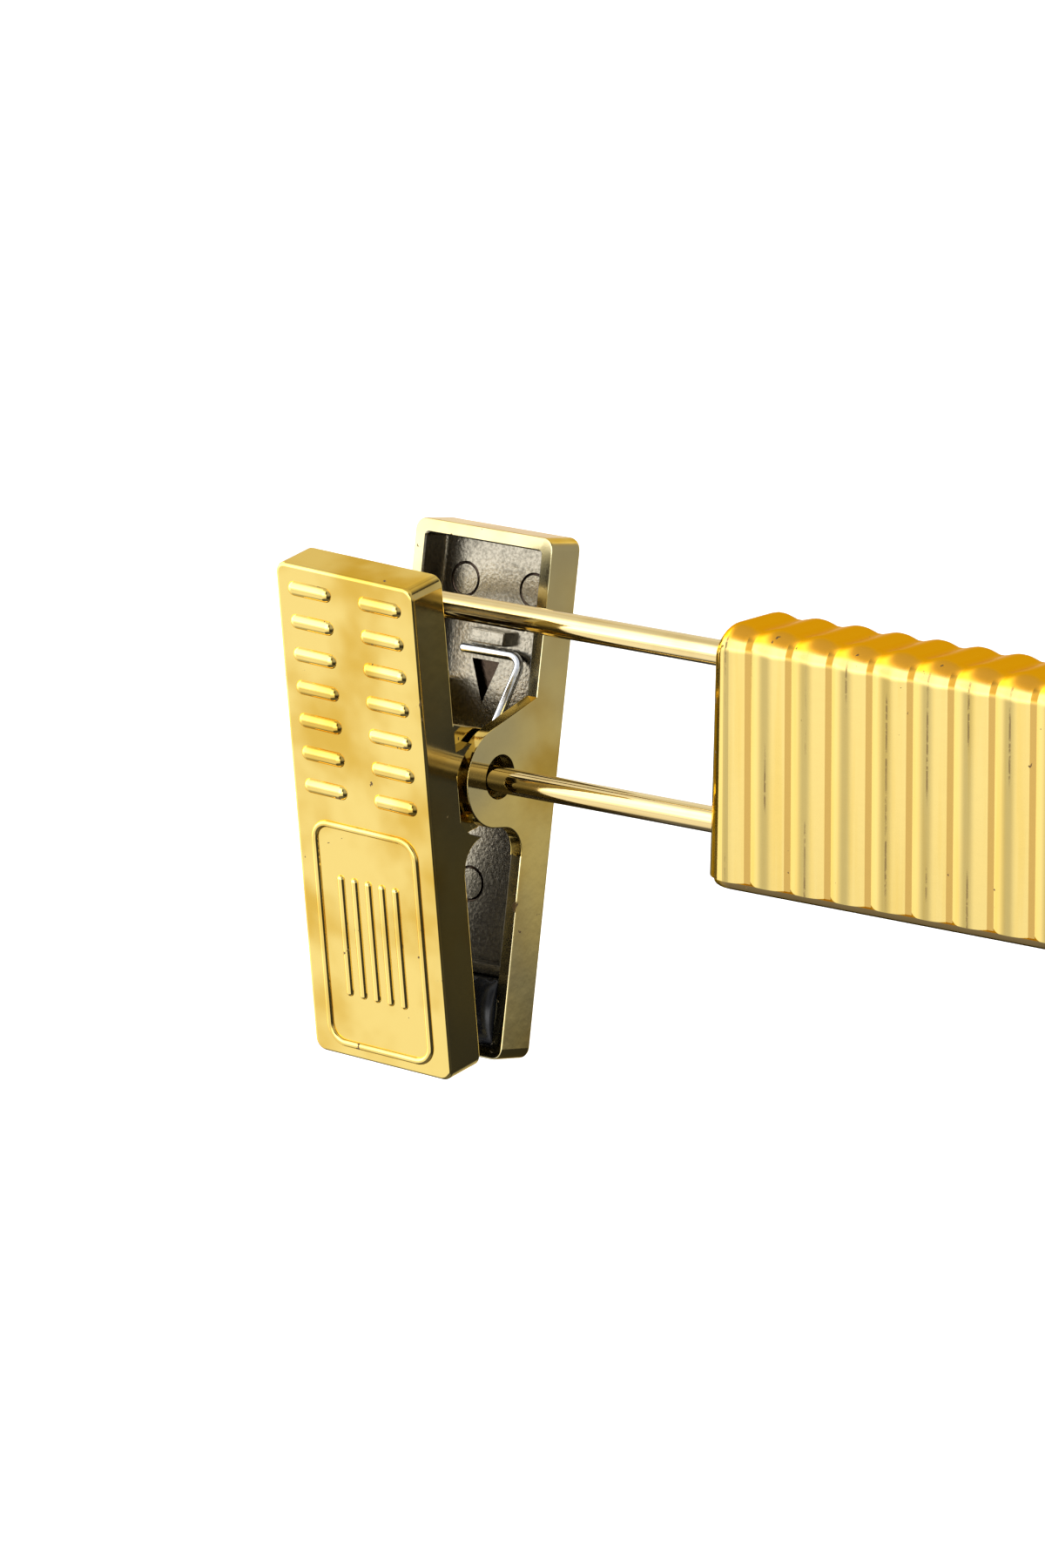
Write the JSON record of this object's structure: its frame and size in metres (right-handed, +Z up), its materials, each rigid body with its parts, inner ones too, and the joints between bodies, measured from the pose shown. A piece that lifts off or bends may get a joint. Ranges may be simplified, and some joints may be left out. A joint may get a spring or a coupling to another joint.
{
  "type": "clip hanger",
  "caption": "Gold clip hanger: a ribbed bar under a swivelling wire hook, with sprung pinch clips that slide on wire loops at its ends.",
  "frame": {"origin": "centre of the hook's bend, on the axis of a rail that fills it", "axes": "+Z up, +X along the bar to the right as seen from the front, +Y to the back"},
  "size_m": [0.2752, 0.0322, 0.1238],
  "materials": {
    "gold_wire": "bright gold plating on steel wire",
    "gold_bar": "metallised gold on moulded plastic",
    "gold_clip": "metallised gold on moulded plastic",
    "plain_steel": "plain steel",
    "spring_steel": "bright spring wire",
    "core_plastic": "dark moulded plastic",
    "black_rubber": "soft glossy rubber"
  },
  "bodies": {
    "hook": {"hook": "gold_wire", "hook_washer": "plain_steel", "hook_stop": "plain_steel"},
    "bar": {"bar_cover": "gold_bar", "bar_base": "gold_bar", "base_screws": "plain_steel", "hook_bush": "gold_wire", "left_wire_anchor": "core_plastic", "right_wire_anchor": "core_plastic", "left_wire_loop": "gold_wire", "right_wire_loop": "gold_wire"},
    "left_clip": {"left_spring": "spring_steel"},
    "left_front": {"left_front_jaw": "gold_clip", "left_front_pad": "black_rubber"},
    "left_rear": {"left_rear_jaw": "gold_clip", "left_rear_pad": "black_rubber"},
    "right_clip": {"right_spring": "spring_steel"},
    "right_front": {"right_front_jaw": "gold_clip", "right_front_pad": "black_rubber"},
    "right_rear": {"right_rear_jaw": "gold_clip", "right_rear_pad": "black_rubber"}
  },
  "joints": [
    {"name": "hook_swivel", "type": "hinge", "parent": "hook", "child": "bar", "pos_m": [0, 0, -0.0421], "axis": [0, 0, 1], "continuous": true},
    {"name": "left_clip_slide", "type": "slide", "parent": "bar", "child": "left_clip", "axis": [1, 0, 0], "range_m": [0, 0.0323]},
    {"name": "left_front_squeeze", "type": "hinge", "parent": "left_clip", "child": "left_front", "pos_m": [-0.1205, 0, -0.06619], "axis": [-1, 0, 0], "range_deg": [0, 20], "stiffness_Nm_per_rad": 0.2, "springref_deg": -22.92, "deforming": ["left_spring"]},
    {"name": "left_rear_squeeze", "type": "hinge", "parent": "left_clip", "child": "left_rear", "pos_m": [-0.1205, 0, -0.06619], "axis": [1, 0, 0], "range_deg": [0, 20], "stiffness_Nm_per_rad": 0.2, "springref_deg": -22.92},
    {"name": "right_clip_slide", "type": "slide", "parent": "bar", "child": "right_clip", "axis": [-1, 0, 0], "range_m": [0, 0.0323]},
    {"name": "right_front_squeeze", "type": "hinge", "parent": "right_clip", "child": "right_front", "pos_m": [0.1205, 0, -0.06619], "axis": [-1, 0, 0], "range_deg": [0, 20], "stiffness_Nm_per_rad": 0.2, "springref_deg": -22.92, "deforming": ["right_spring"]},
    {"name": "right_rear_squeeze", "type": "hinge", "parent": "right_clip", "child": "right_rear", "pos_m": [0.1205, 0, -0.06619], "axis": [1, 0, 0], "range_deg": [0, 20], "stiffness_Nm_per_rad": 0.2, "springref_deg": -22.92}
  ],
  "couplings": [
    {"joint": "left_rear_squeeze", "follows": "left_front_squeeze", "ratio": 1},
    {"joint": "right_rear_squeeze", "follows": "right_front_squeeze", "ratio": 1}
  ]
}
